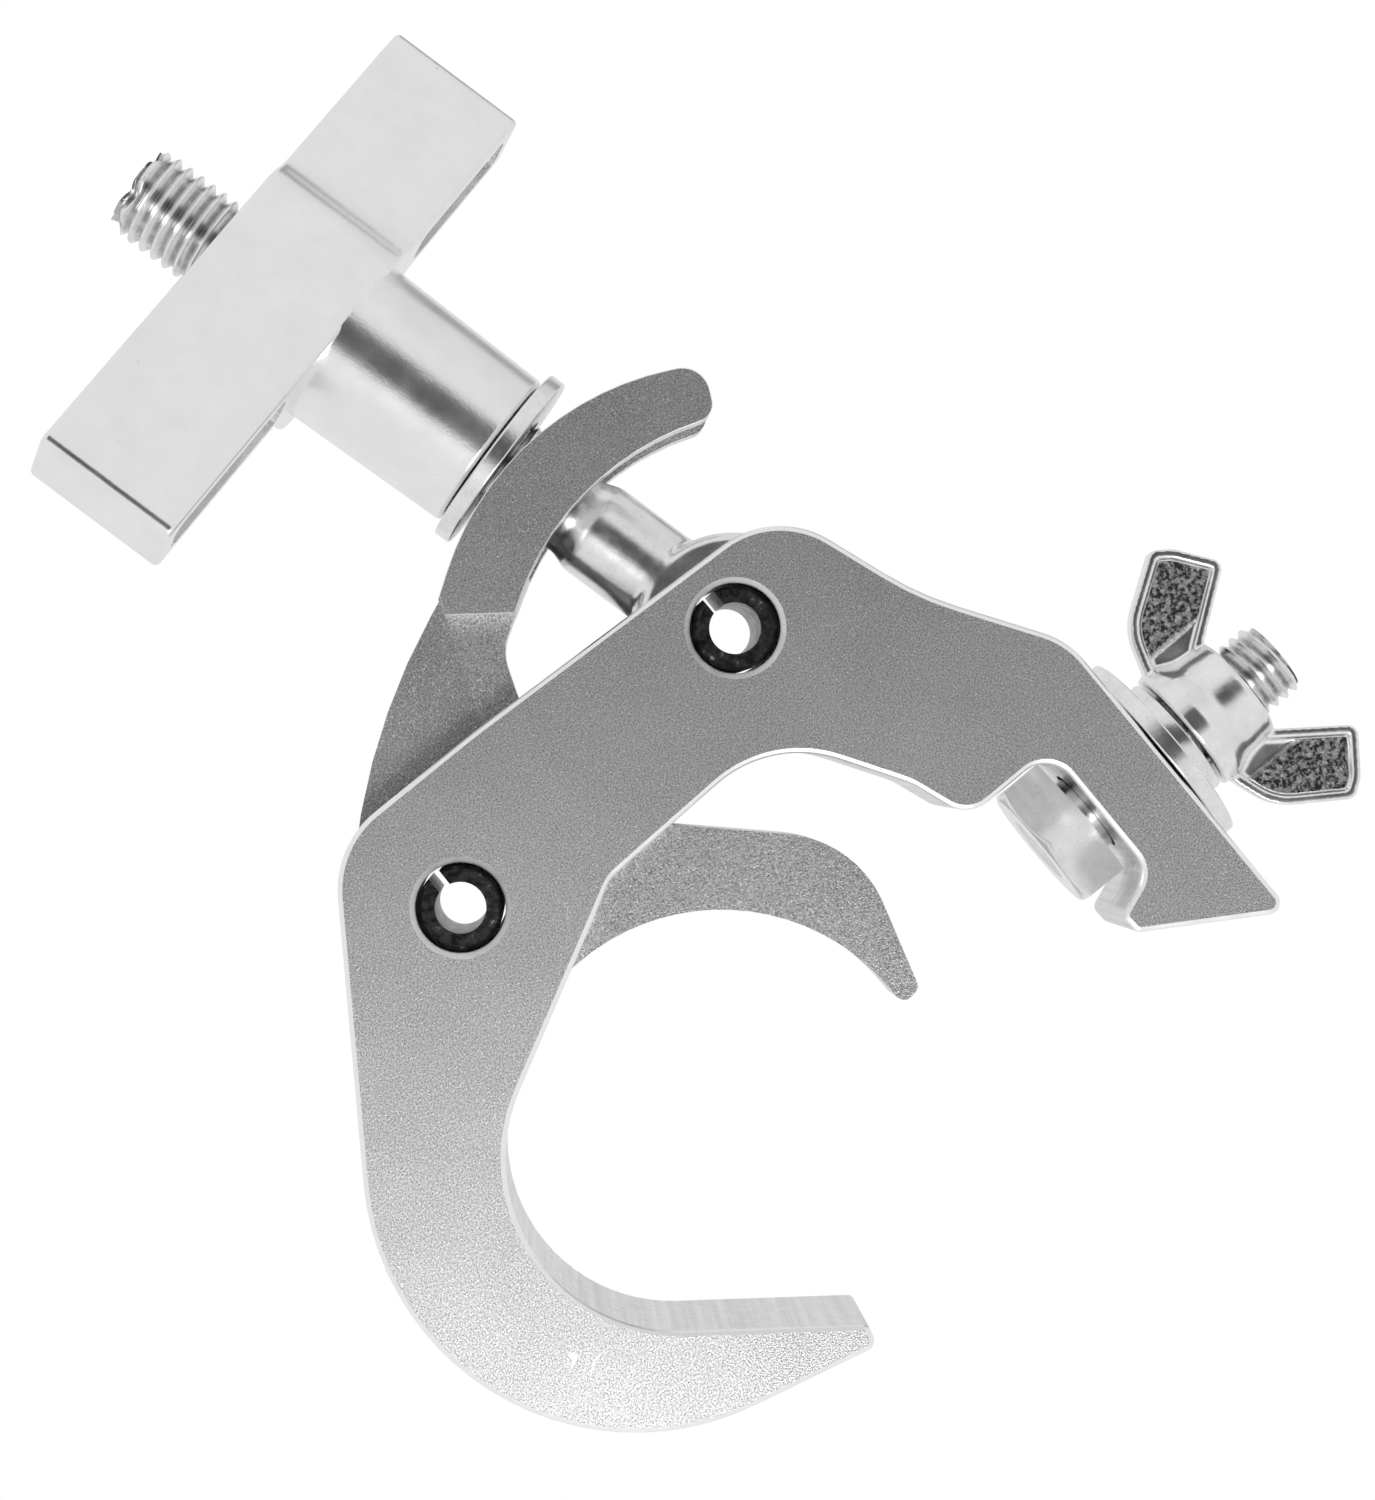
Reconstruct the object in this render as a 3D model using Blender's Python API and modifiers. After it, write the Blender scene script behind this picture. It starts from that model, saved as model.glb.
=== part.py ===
"""Quick trigger clamp for a round tube, hanging from its hook, at real size in metres.

Frame: the origin is the centre of the tube in the hook, the tube runs along Y, and the fixture
bolt hangs straight down along -Z below it. The swing bolt and its knob stand out towards +X.
Outlines are drawn in the XZ plane in millimetres, as corners with a fillet radius.
"""

import math

import bmesh
import bpy
from mathutils import Matrix, Vector

MM = 0.001
GAP = 0.3  # clearance between pieces that touch

# Tube and hook
SEAT_R = 24.0
SEAT_FROM, SEAT_TO = 27.0, 142.0  # degrees of the seat's arc about the tube
HOOK_R = 38.0
HOOK_CENTRE = (4.5, 4.5)
HOOK_FROM, HOOK_TO = 56.0, 167.0
BODY_HALF = 15.0
BODY_EDGE = 0.7

# Pivots
JAW_PIVOT = (46.4, 1.0)
BOLT_PIVOT = (52.1, -53.2)
PIN_R = 6.0
PIN_BORE_R = 3.6
PIN_HALF = 14.4
PIN_SLIT = 1.9
BORE_CHAMFER = 0.8

# Jaw lever
BLADE_HALF = 7.3
SLOT_HALF = BLADE_HALF + GAP
HORN_HALF = 14.5
HORN_EDGE = 1.1
HUB_R = 13.0
RELIEF_DEPTH = 1.6
FORK_HALF = 7.9

# Swing bolt, in distances along its axis from its pivot
BOLT_ANGLE = 13.7  # degrees above the X axis
THREAD_R = 6.9
BARREL_R = 7.1
NECK_R = 6.4
EYE_R = 13.8
EYE_HALF = 7.2
BARREL_END = 24.6
THREAD_START = 28.0
BOLT_END = 106.0
WASHER_AT = 39.8
WASHER_T = 2.5
WASHER_R = 14.0

# Knob
BOSS_AT = WASHER_AT + WASHER_T + GAP
BOSS_TOP = 68.8
BOSS_R_LOW, BOSS_R_HIGH = 12.2, 12.8
HANDLE_H = 21.9
HANDLE_LONG, HANDLE_SHORT = 46.4, 42.0  # the two wings, from the bolt's axis to their ends
HANDLE_FACE, HANDLE_STEP = 12.0, 9.2  # how far the long and the short wing's fronts stand off
WING_T = 12.0
HANDLE_TURN = 25.7  # degrees about the bolt
HANDLE_EDGE = 1.0
HANDLE_CORNER = 1.7

# Fixture bolt below the hook
FLAT_Z = -87.8
RECESS_Z = -76.1
FIXTURE_R = 5.8
FIXTURE_HOLE_R = 6.4
HEAD_ACROSS = 19.0
HEAD_H = 7.2
HEAD_TOP = -67.3
HEAD_TURN = 26.0
HEAD_COLLAR_R = 8.1  # the round face under the head
FIXTURE_END = -111.0
PLATE_WASHER_R = 15.0
PLATE_WASHER_T = 2.5
SPRING_R = 9.2
SPRING_T = 2.2
NUT_BASE_R, NUT_TOP_R = 9.6, 7.9
NUT_H = 10.6
WING_HALF = 2.0


def clear_scene():
    for obj in list(bpy.data.objects):
        bpy.data.objects.remove(obj, do_unlink=True)


def new_collection(name):
    collection = bpy.data.collections.new(name)
    bpy.context.scene.collection.children.link(collection)
    return collection


clear_scene()
PARTS = new_collection("Quick_trigger_clamp")
CUTTERS = new_collection("Cutters")


def material(name, colour, roughness, metallic=1.0):
    mat = bpy.data.materials.new(name)
    mat.use_nodes = True
    shader = mat.node_tree.nodes["Principled BSDF"]
    shader.inputs["Base Color"].default_value = (*colour, 1.0)
    shader.inputs["Roughness"].default_value = roughness
    shader.inputs["Metallic"].default_value = metallic
    return mat


BLASTED = material("blasted_aluminium", (0.55, 0.55, 0.56), 0.5)
POLISHED = material("polished_casting", (0.85, 0.85, 0.84), 0.28)
ZINC = material("bright_zinc", (0.78, 0.77, 0.75), 0.22)
BLACK_STEEL = material("blackened_steel", (0.03, 0.03, 0.03), 0.35)


# Outlines ---------------------------------------------------------------------------------


def arc_corner(centre, radius, start, end):
    """The corner whose fillet is the arc from start to end degrees about centre."""
    middle = math.radians((start + end) / 2)
    reach = radius / math.cos(math.radians((end - start) / 2))
    return (centre[0] + reach * math.cos(middle), centre[1] + reach * math.sin(middle), radius)


def rounded(corners, step=5.0):
    """Points of the outline through the corners (x, z, radius), each fillet as a true arc."""
    points = []
    count = len(corners)
    for i, (x, z, radius) in enumerate(corners):
        corner = Vector((x, z))
        before = (Vector(corners[i - 1][:2]) - corner).normalized()
        after = (Vector(corners[(i + 1) % count][:2]) - corner).normalized()
        half = before.angle(after) / 2
        turn = math.pi - 2 * half
        if radius == 0 or turn < 1e-4:
            points.append(corner)
            continue
        centre = corner + (before + after).normalized() * (radius / math.sin(half))
        start = corner + before * (radius / math.tan(half)) - centre
        side = 1 if before.cross(after) < 0 else -1
        steps = max(2, math.ceil(math.degrees(turn) / step))
        for k in range(steps + 1):
            angle = side * turn * k / steps
            spun = Vector(
                (
                    start.x * math.cos(angle) - start.y * math.sin(angle),
                    start.x * math.sin(angle) + start.y * math.cos(angle),
                )
            )
            points.append(centre + spun)
    return points


def circle_points(centre, radius, steps=48):
    turns = [2 * math.pi * k / steps for k in range(steps)]
    return [Vector((centre[0] + radius * math.cos(t), centre[1] + radius * math.sin(t))) for t in turns]


# Solids -----------------------------------------------------------------------------------


def finish(obj, mat):
    """Puts a part in the parts collection with its material, or a cutter out of the render."""
    if mat is None:
        CUTTERS.objects.link(obj)
        obj.hide_render = True
        obj.display_type = "WIRE"
    else:
        PARTS.objects.link(obj)
        obj.data.materials.append(mat)
    return obj


def mesh_of_curve(curve_object):
    """The curve as a mesh whose caps are welded to its sides, with one face for each cap."""
    bpy.context.scene.collection.objects.link(curve_object)
    bpy.context.view_layer.update()
    evaluated = curve_object.evaluated_get(bpy.context.evaluated_depsgraph_get())
    mesh = bpy.data.meshes.new_from_object(evaluated)
    edit = bmesh.new()
    edit.from_mesh(mesh)
    bmesh.ops.remove_doubles(edit, verts=edit.verts, dist=1e-6)
    for side in (-1, 1):
        cap = [face for face in edit.faces if face.normal.z * side > 0.99]
        bmesh.ops.dissolve_faces(edit, faces=cap)
    bmesh.ops.recalc_face_normals(edit, faces=edit.faces)
    edit.to_mesh(mesh)
    edit.free()
    return mesh


def prism(name, points, half, mat=None, origin=(0.0, 0.0), edge=0.0):
    """An outline in XZ, extruded by half to each side of Y = 0, with its rims bevelled by edge."""
    curve = bpy.data.curves.new(name, "CURVE")
    curve.dimensions = "2D"
    curve.fill_mode = "BOTH"
    curve.extrude = half * MM
    spline = curve.splines.new("POLY")
    spline.points.add(len(points) - 1)
    for point, place in zip(spline.points, points):
        point.co = ((place.x - origin[0]) * MM, (place.y - origin[1]) * MM, 0.0, 1.0)
    spline.use_cyclic_u = True
    curve_object = bpy.data.objects.new(name + "_curve", curve)
    curve_object.matrix_world = Matrix.Translation((origin[0] * MM, 0, origin[1] * MM)) @ Matrix.Rotation(
        math.radians(90), 4, "X"
    )
    obj = bpy.data.objects.new(name, mesh_of_curve(curve_object))
    obj.matrix_world = curve_object.matrix_world.copy()
    bpy.data.objects.remove(curve_object)
    if edge:
        bevel = obj.modifiers.new("rim", "BEVEL")
        bevel.width = edge * MM
        bevel.segments = 2
        bevel.limit_method = "ANGLE"
        bevel.angle_limit = math.radians(60)
    return finish(obj, mat)


def turned(name, profile, frame, mat=None, steps=48, closed=False):
    """A profile of (radius, height) points, outer side top to bottom, turned about frame's Z."""
    mesh = bpy.data.meshes.new(name)
    edges = [(i, i + 1) for i in range(len(profile) - 1)]
    if closed:
        edges.append((len(profile) - 1, 0))
    mesh.from_pydata([(r * MM, 0, h * MM) for r, h in profile], edges, [])
    obj = bpy.data.objects.new(name, mesh)
    obj.matrix_world = frame
    screw = obj.modifiers.new("turn", "SCREW")
    screw.steps = steps
    screw.render_steps = steps
    screw.use_merge_vertices = True
    screw.merge_threshold = 1e-6
    screw.use_smooth_shade = True
    return finish(obj, mat)


def rod(name, radius, low, high, frame, steps=48):
    """A plain cylinder, as a cutter or a shape to join, from low to high along frame's Z."""
    return turned(name, [(0, high), (radius, high), (radius, low), (0, low)], frame, steps=steps)


def ring(name, inner, outer, low, high, frame, mat, chamfer=0.3):
    profile = [
        (inner, high),
        (outer - chamfer, high),
        (outer, high - chamfer),
        (outer, low + chamfer),
        (outer - chamfer, low),
        (inner, low),
    ]
    return turned(name, profile, frame, mat, closed=True)


def combine(target, other, operation="DIFFERENCE"):
    boolean = target.modifiers.new(other.name, "BOOLEAN")
    boolean.operation = operation
    boolean.object = other
    boolean.solver = "EXACT"


def along_y(centre):
    """A frame whose Z axis lies along -Y through a point of the XZ plane."""
    return Matrix.Translation((centre[0] * MM, 0, centre[1] * MM)) @ Matrix.Rotation(
        math.radians(90), 4, "X"
    )


def smooth(obj, angle=35.0):
    """Smooth shading with sharp edges, worked out after every other modifier."""
    for polygon in obj.data.polygons:
        polygon.use_smooth = True
    bpy.context.view_layer.update()
    evaluated = obj.evaluated_get(bpy.context.evaluated_depsgraph_get())
    mesh = bpy.data.meshes.new_from_object(evaluated)
    mesh.shade_smooth()
    mesh.set_sharp_from_angle(angle=math.radians(angle))
    obj.modifiers.clear()
    obj.data = mesh


BOLT_FRAME = Matrix.Translation((BOLT_PIVOT[0] * MM, 0, BOLT_PIVOT[1] * MM)) @ Matrix.Rotation(
    math.radians(90 - BOLT_ANGLE), 4, "Y"
)
DOWN_FRAME = Matrix.Rotation(math.radians(180), 4, "X")  # its Z axis points down from the tube


# Hook body --------------------------------------------------------------------------------


def hook_outline():
    return rounded(
        [
            (-34.4, -5.9, 1.0),
            (-37.5, -5.0, 1.6),
            arc_corner(HOOK_CENTRE, HOOK_R, HOOK_FROM, HOOK_TO),
            (64.3, 9.2, 14.0),
            (64.1, -16.0, 80.0),
            (61.7, -68.2, 13.2),
            (39.5, -75.9, 45.0),
            (21.3, FLAT_Z, 12.0),
            (-16.5, FLAT_Z - 0.01, 0.0),  # the flat breaks here by a hair, past the washer
            (-27.5, FLAT_Z, 1.7),
            (-16.1, -69.4, 1.2),
            (-13.0, -69.2, 1.4),
            (-10.4, RECESS_Z, 4.0),
            (11.1, RECESS_Z, 4.4),
            (11.1, -61.5, 5.0),
            (20.0, -58.3, 12.0),
            (37.3, -47.4, 17.3),
            (36.3, -17.8, 6.0),
            arc_corner((0, 0), SEAT_R, SEAT_FROM, SEAT_TO),
        ]
    )


def slot_outline():
    """The milled slot: round the jaw's hub, open on both sides, then round the bolt's eye."""
    return rounded(
        [
            (5.0, 4.5, 0.0),
            (32.4, 4.5, 1.0),
            (32.4, 14.9, 10.0),
            (110.0, 14.9, 0.0),
            (110.0, -110.0, 0.0),
            (47.0, -110.0, 0.0),
            (47.0, -68.2, 1.0),
            (36.8, -68.2, 9.0),
            (36.4, -53.5, 20.0),
            (41.0, -39.5, 2.0),
            (5.0, -39.5, 0.0),
        ]
    )


def pin_bore(name, centre, through):
    """A bore along Y with a chamfer at each face of the hook body."""
    lip = PIN_R + GAP + BORE_CHAMFER
    wall = PIN_R + GAP
    face = through
    profile = [
        (0, face + 1),
        (lip + 1, face + 1),
        (lip, face),
        (wall, face - BORE_CHAMFER),
        (wall, -face + BORE_CHAMFER),
        (lip, -face),
        (lip + 1, -face - 1),
        (0, -face - 1),
    ]
    return turned(name, profile, along_y(centre))


def make_hook_body():
    body = prism("hook_body", hook_outline(), BODY_HALF, BLASTED, edge=BODY_EDGE)
    combine(body, prism("slot_cutter", slot_outline(), SLOT_HALF))
    combine(body, pin_bore("jaw_bore_cutter", JAW_PIVOT, BODY_HALF))
    combine(body, pin_bore("bolt_bore_cutter", BOLT_PIVOT, BODY_HALF))
    combine(body, rod("fixture_hole_cutter", FIXTURE_HOLE_R, 60, 100, DOWN_FRAME))
    smooth(body)


# Jaw lever --------------------------------------------------------------------------------


BACK_CENTRE, BACK_R = (-4.0, -55.2), 91.1
HORN_CENTRE, HORN_R = (48.7, -49.9), 41.7
THROAT_CENTRE, THROAT_R = (41.2, -52.0), 39.5
JAW_CENTRE, JAW_R = (-1.4, -7.2), 30.9


def lever_outline():
    """Finger, hub side, back edge and horn of the jaw lever in one closed run."""
    return rounded(
        [
            arc_corner(JAW_CENTRE, JAW_R, -91, 2),
            (-4.1, -38.1, 1.45),
            (-3.6, -41.4, 1.45),
            (18.2, -47.8, 16.0),
            (47.5, -17.6, 6.0),
            (70.5, -26.3, 7.0),
            arc_corner(THROAT_CENTRE, THROAT_R, -21, 27),
            (76.5, -69.9, 2.6),
            (83.4, -73.3, 4.0),
            arc_corner(HORN_CENTRE, HORN_R, -27.5, 32.8),
            (81.65, -24.05, 0.0),
            arc_corner(BACK_CENTRE, BACK_R, 21.7, 45),
            (59.3, 10.35, 4.0),
            arc_corner(JAW_PIVOT, HUB_R, 71.2, 185),
            (33.52, -0.93, 0.0),
            (29.6, -2.6, 2.0),
        ]
    )


def blade_region():
    """Everything short of the horn: the horn keeps its full width past a straight shoulder."""
    shoulder = [(92.0, -27.7), (79.4, -23.1), (69.4, -36.2)]
    around = [(68.0, -70.0), (-30.0, -70.0), (-30.0, 50.0), (92.0, 50.0)]
    return [Vector(place) for place in shoulder + around]


def relief_region():
    """The part of the blade's back that is milled thinner still, up to a slanted step."""
    return [Vector(place) for place in ((95.0, -28.7), (78.4, -22.8), (40.0, -8.7), (40.0, 60.0), (95.0, 60.0))]


def fork_region():
    """The fork between the horn's prongs, open below, its roof slanted to clear the closed bolt."""
    return [Vector(place) for place in ((72.0, -58.0), (72.0, -38.0), (100.0, -21.7), (100.0, -90.0), (60.0, -90.0))]


def make_trigger_arm():
    arm = prism("trigger_arm", lever_outline(), HORN_HALF, BLASTED, JAW_PIVOT, edge=HORN_EDGE)
    thick = 20.0
    steps = (("blade", blade_region(), BLADE_HALF), ("relief", relief_region(), BLADE_HALF - RELIEF_DEPTH))
    for name, region, half in steps:
        for side in (-1, 1):
            cutter = prism(f"{name}_cutter_{side}", region, thick / 2)
            cutter.location.y = side * (half + thick / 2) * MM
            combine(arm, cutter)
    combine(arm, prism("fork_cutter", fork_region(), FORK_HALF))
    combine(arm, rod("hub_bore_cutter", PIN_R + GAP, -30, 30, along_y(JAW_PIVOT)))
    smooth(arm)


# Pins -------------------------------------------------------------------------------------


def make_pin(name, centre):
    """A slotted spring pin: a thick tube split along its length, its slit towards +X."""
    profile = [(PIN_BORE_R, PIN_HALF), (PIN_R - 0.6, PIN_HALF), (PIN_R, PIN_HALF - 0.8)]
    profile += [(r, -h) for r, h in reversed(profile)]
    pin = turned(name, profile, along_y(centre), BLACK_STEEL, closed=True)
    slit = rounded(
        [
            (centre[0], centre[1] - PIN_SLIT / 2, 0),
            (centre[0] + 9, centre[1] - PIN_SLIT / 2, 0),
            (centre[0] + 9, centre[1] + PIN_SLIT / 2, 0),
            (centre[0], centre[1] + PIN_SLIT / 2, 0),
        ]
    )
    combine(pin, prism(name + "_slit", slit, PIN_HALF + 2))
    smooth(pin)


# Swing bolt, washer and knob --------------------------------------------------------------


def make_eye_bolt():
    profile = [
        (0, BOLT_END),
        (THREAD_R - 1.2, BOLT_END),
        (THREAD_R, BOLT_END - 1.2),
        (THREAD_R, THREAD_START),
        (NECK_R, THREAD_START - 0.8),
        (NECK_R, BARREL_END + 1.4),
        (BARREL_R, BARREL_END),
        (BARREL_R, EYE_R - 6),
        (0, EYE_R - 6),
    ]
    bolt = turned("eye_bolt", profile, BOLT_FRAME, ZINC)
    eye = prism("eye_disc", circle_points(BOLT_PIVOT, EYE_R), EYE_HALF, edge=0.8)
    combine(bolt, eye, "UNION")
    combine(bolt, rod("eye_bore_cutter", PIN_R + GAP, -30, 30, along_y(BOLT_PIVOT)))
    smooth(bolt)


def make_knob_washer():
    ring("knob_washer", THREAD_R + GAP + 0.3, WASHER_R, WASHER_AT, WASHER_AT + WASHER_T, BOLT_FRAME, ZINC)
    smooth(bpy.data.objects["knob_washer"])


def handle_outline():
    """Plan of the handle across the bolt: two thinner wings on a hub that holds the thread."""
    return rounded(
        [
            (-HANDLE_LONG, -HANDLE_FACE, HANDLE_CORNER),
            (9.1, -HANDLE_FACE, 6.4),
            (12.8, -HANDLE_STEP, 6.4),
            (HANDLE_SHORT, -HANDLE_STEP, HANDLE_CORNER),
            (HANDLE_SHORT, WING_T - HANDLE_STEP, HANDLE_CORNER),
            (16.5, WING_T - HANDLE_STEP, 4.0),
            (11.5, 12.6, 6.0),
            (-11.5, 12.6, 6.0),
            (-16.5, WING_T - HANDLE_FACE, 4.0),
            (-HANDLE_LONG, WING_T - HANDLE_FACE, HANDLE_CORNER),
        ]
    )


def make_knob():
    profile = [
        (0, BOSS_TOP + 2),
        (BOSS_R_LOW - 2, BOSS_TOP + 2),
        (BOSS_R_LOW - 2, BOSS_TOP + 0.6),
        (BOSS_R_HIGH, BOSS_TOP + 0.6),
        (BOSS_R_LOW, BOSS_AT + 0.8),
        (BOSS_R_LOW - 0.8, BOSS_AT),
        (0, BOSS_AT),
    ]
    knob = turned("knob", profile, BOLT_FRAME, POLISHED)
    handle = prism("handle_block", handle_outline(), HANDLE_H / 2, edge=HANDLE_EDGE)
    lift = Matrix.Translation((0, 0, (BOSS_TOP + HANDLE_H / 2) * MM))
    handle.matrix_world = BOLT_FRAME @ Matrix.Rotation(math.radians(HANDLE_TURN), 4, "Z") @ lift
    combine(knob, handle, "UNION")
    combine(knob, rod("knob_bore_cutter", THREAD_R + GAP, 20, 120, BOLT_FRAME))
    smooth(knob)


# Fixture bolt, washers and wing nut -------------------------------------------------------


def hexagon(name, across, low, high, turn, frame):
    """A hexagonal cutter or block with a corner turned turn degrees from frame's X."""
    mesh = bpy.data.meshes.new(name)
    edit = bmesh.new()
    radius = across / 2 / math.cos(math.radians(30)) * MM
    place = Matrix.Translation((0, 0, (low + high) / 2 * MM)) @ Matrix.Rotation(math.radians(turn - 90), 4, "Z")
    bmesh.ops.create_cone(
        edit, cap_ends=True, segments=6, radius1=radius, radius2=radius, depth=(high - low) * MM, matrix=place
    )
    edit.to_mesh(mesh)
    edit.free()
    obj = bpy.data.objects.new(name, mesh)
    obj.matrix_world = frame
    return finish(obj, None)


def make_fixture_bolt():
    underside = -HEAD_TOP + HEAD_H
    profile = [
        (0, -FIXTURE_END),
        (FIXTURE_R - 1.0, -FIXTURE_END),
        (FIXTURE_R, -FIXTURE_END - 1.0),
        (FIXTURE_R, -RECESS_Z - GAP),
        (HEAD_COLLAR_R, -RECESS_Z - GAP),
        (HEAD_COLLAR_R, underside - 2),
        (0, underside - 2),
    ]
    bolt = turned("fixture_bolt", profile, DOWN_FRAME, ZINC)
    head = hexagon("head_block", HEAD_ACROSS, -HEAD_TOP, underside, HEAD_TURN, DOWN_FRAME)
    combine(bolt, head, "UNION")
    smooth(bolt)


PLATE_WASHER_AT = -FLAT_Z + GAP
SPRING_AT = PLATE_WASHER_AT + PLATE_WASHER_T + GAP
NUT_AT = SPRING_AT + SPRING_T + GAP


def make_washers():
    top = PLATE_WASHER_AT + PLATE_WASHER_T
    ring("fixture_washer", FIXTURE_R + 0.7, PLATE_WASHER_R, PLATE_WASHER_AT, top, DOWN_FRAME, ZINC)
    smooth(bpy.data.objects["fixture_washer"])
    spring = ring("spring_washer", FIXTURE_R + 0.5, SPRING_R, SPRING_AT, SPRING_AT + SPRING_T, DOWN_FRAME, ZINC, 0.2)
    split = hexagon("split_cutter", 1.0, -6.0, 6.0, 0.0, Matrix.Identity(4))
    split.matrix_world = (
        DOWN_FRAME
        @ Matrix.Translation((0, -8 * MM, (SPRING_AT + SPRING_T / 2) * MM))
        @ Matrix.Rotation(math.radians(35), 4, "Y")
    )
    split.scale.y = 6.0
    combine(spring, split)
    smooth(spring)


def wing_outline():
    side = [
        (4.0, -103.2, 0.0),
        (6.9, -103.2, 3.0),
        (14.9, -114.4, 1.6),
        (23.0, -107.4, 1.6),
        (16.2, -96.6, 9.0),
        (8.0, -94.6, 0.0),
    ]
    return rounded(side + [(-x, z, r) for x, z, r in reversed(side)])


def make_wing_nut():
    profile = [
        (0, NUT_AT + NUT_H),
        (NUT_TOP_R - 0.6, NUT_AT + NUT_H),
        (NUT_TOP_R, NUT_AT + NUT_H - 0.6),
        (NUT_BASE_R, NUT_AT + 3.0),
        (NUT_BASE_R, NUT_AT + 0.5),
        (NUT_BASE_R - 0.5, NUT_AT),
        (0, NUT_AT),
    ]
    nut = turned("wing_nut", profile, DOWN_FRAME, ZINC)
    combine(nut, prism("wings_block", wing_outline(), WING_HALF, edge=0.6), "UNION")
    combine(nut, rod("nut_bore_cutter", FIXTURE_R + GAP, 80, 120, DOWN_FRAME))
    smooth(nut)


make_hook_body()
make_trigger_arm()
make_pin("jaw_pivot_pin", JAW_PIVOT)
make_pin("eye_bolt_pin", BOLT_PIVOT)
make_eye_bolt()
make_knob_washer()
make_knob()
make_fixture_bolt()
make_washers()
make_wing_nut()
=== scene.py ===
"""Looks of the quick trigger clamp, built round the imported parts. Lengths are in metres."""

import math

import bmesh
import bpy
from mathutils import Matrix, Vector, noise


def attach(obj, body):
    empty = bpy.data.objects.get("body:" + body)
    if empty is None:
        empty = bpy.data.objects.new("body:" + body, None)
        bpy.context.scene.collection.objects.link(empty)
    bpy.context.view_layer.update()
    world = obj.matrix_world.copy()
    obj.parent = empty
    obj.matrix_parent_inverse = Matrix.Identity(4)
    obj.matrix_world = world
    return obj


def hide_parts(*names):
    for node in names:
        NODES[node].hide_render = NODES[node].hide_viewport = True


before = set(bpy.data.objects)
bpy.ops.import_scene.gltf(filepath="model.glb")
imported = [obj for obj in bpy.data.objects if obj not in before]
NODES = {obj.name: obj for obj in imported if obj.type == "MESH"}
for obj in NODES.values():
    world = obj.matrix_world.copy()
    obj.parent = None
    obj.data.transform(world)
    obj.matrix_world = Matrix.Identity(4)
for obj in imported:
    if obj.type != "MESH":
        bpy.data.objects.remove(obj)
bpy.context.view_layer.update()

MM = 0.001
BOLT_PIVOT = Vector((52.1, 0.0, -53.2)) * MM
BOLT_ANGLE = math.radians(13.7)
BOLT_FRAME = Matrix.Translation(BOLT_PIVOT) @ Matrix.Rotation(math.pi / 2 - BOLT_ANGLE, 4, "Y")
DOWN_FRAME = Matrix.Rotation(math.pi, 4, "X")


# Node graphs ------------------------------------------------------------------------------


class Graph:
    """A short way to write a material's or world's nodes."""

    def __init__(self, tree):
        self.tree = tree
        self.tree.nodes.clear()

    def node(self, kind, inputs=None, **settings):
        made = self.tree.nodes.new(kind)
        for key, value in settings.items():
            setattr(made, key, value)
        for key, value in (inputs or {}).items():
            self.put(made.inputs[key], value)
        return made

    def put(self, socket, value):
        if isinstance(value, bpy.types.NodeSocket):
            self.tree.links.new(value, socket)
        else:
            socket.default_value = value

    def math(self, operation, a, b=0.0, c=0.0, clamp=False):
        made = self.tree.nodes.new("ShaderNodeMath")
        made.operation = operation
        made.use_clamp = clamp
        for socket, value in zip(made.inputs, (a, b, c)):
            self.put(socket, value)
        return made.outputs[0]

    def noise(self, vector, scale, detail=2.0, roughness=0.5, distortion=0.0):
        made = self.node("ShaderNodeTexNoise", {"Scale": scale, "Detail": detail, "Roughness": roughness})
        made.inputs["Distortion"].default_value = distortion
        self.put(made.inputs["Vector"], vector)
        return made.outputs["Fac"]

    def step(self, value, low, high, out_low=0.0, out_high=1.0, smooth=True):
        made = self.node("ShaderNodeMapRange", {"From Min": low, "From Max": high})
        made.inputs["To Min"].default_value = out_low
        made.inputs["To Max"].default_value = out_high
        made.interpolation_type = "SMOOTHSTEP" if smooth else "LINEAR"
        self.put(made.inputs["Value"], value)
        return made.outputs["Result"]

    def mix(self, factor, a, b, blend="MIX"):
        made = self.node("ShaderNodeMix", data_type="RGBA", blend_type=blend)
        self.put(made.inputs[0], factor)
        self.put(made.inputs[6], a if isinstance(a, bpy.types.NodeSocket) else (*a, 1.0))
        self.put(made.inputs[7], b if isinstance(b, bpy.types.NodeSocket) else (*b, 1.0))
        return made.outputs[2]

    def bump(self, height, strength, distance, normal=None):
        made = self.node("ShaderNodeBump", {"Strength": strength, "Distance": distance, "Height": height})
        if normal is not None:
            self.put(made.inputs["Normal"], normal)
        return made.outputs["Normal"]


def new_material(name):
    mat = bpy.data.materials.new(name)
    mat.use_nodes = True
    graph = Graph(mat.node_tree)
    output = graph.node("ShaderNodeOutputMaterial")
    shader = graph.node("ShaderNodeBsdfPrincipled")
    mat.node_tree.links.new(shader.outputs[0], output.inputs[0])
    coords = graph.node("ShaderNodeTexCoord")
    return mat, graph, shader, coords


def side_mask(graph, coords, low=0.93, high=0.985):
    """1 on the flat side faces across Y, 0 on the walls and rims."""
    split = graph.node("ShaderNodeSeparateXYZ", {0: coords.outputs["Normal"]})
    return graph.step(graph.math("ABSOLUTE", split.outputs[1]), low, high)


def grey(graph, value):
    """A grey colour from a number socket."""
    made = graph.node("ShaderNodeCombineColor")
    for i in range(3):
        graph.put(made.inputs[i], value)
    return made.outputs[0]


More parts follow.
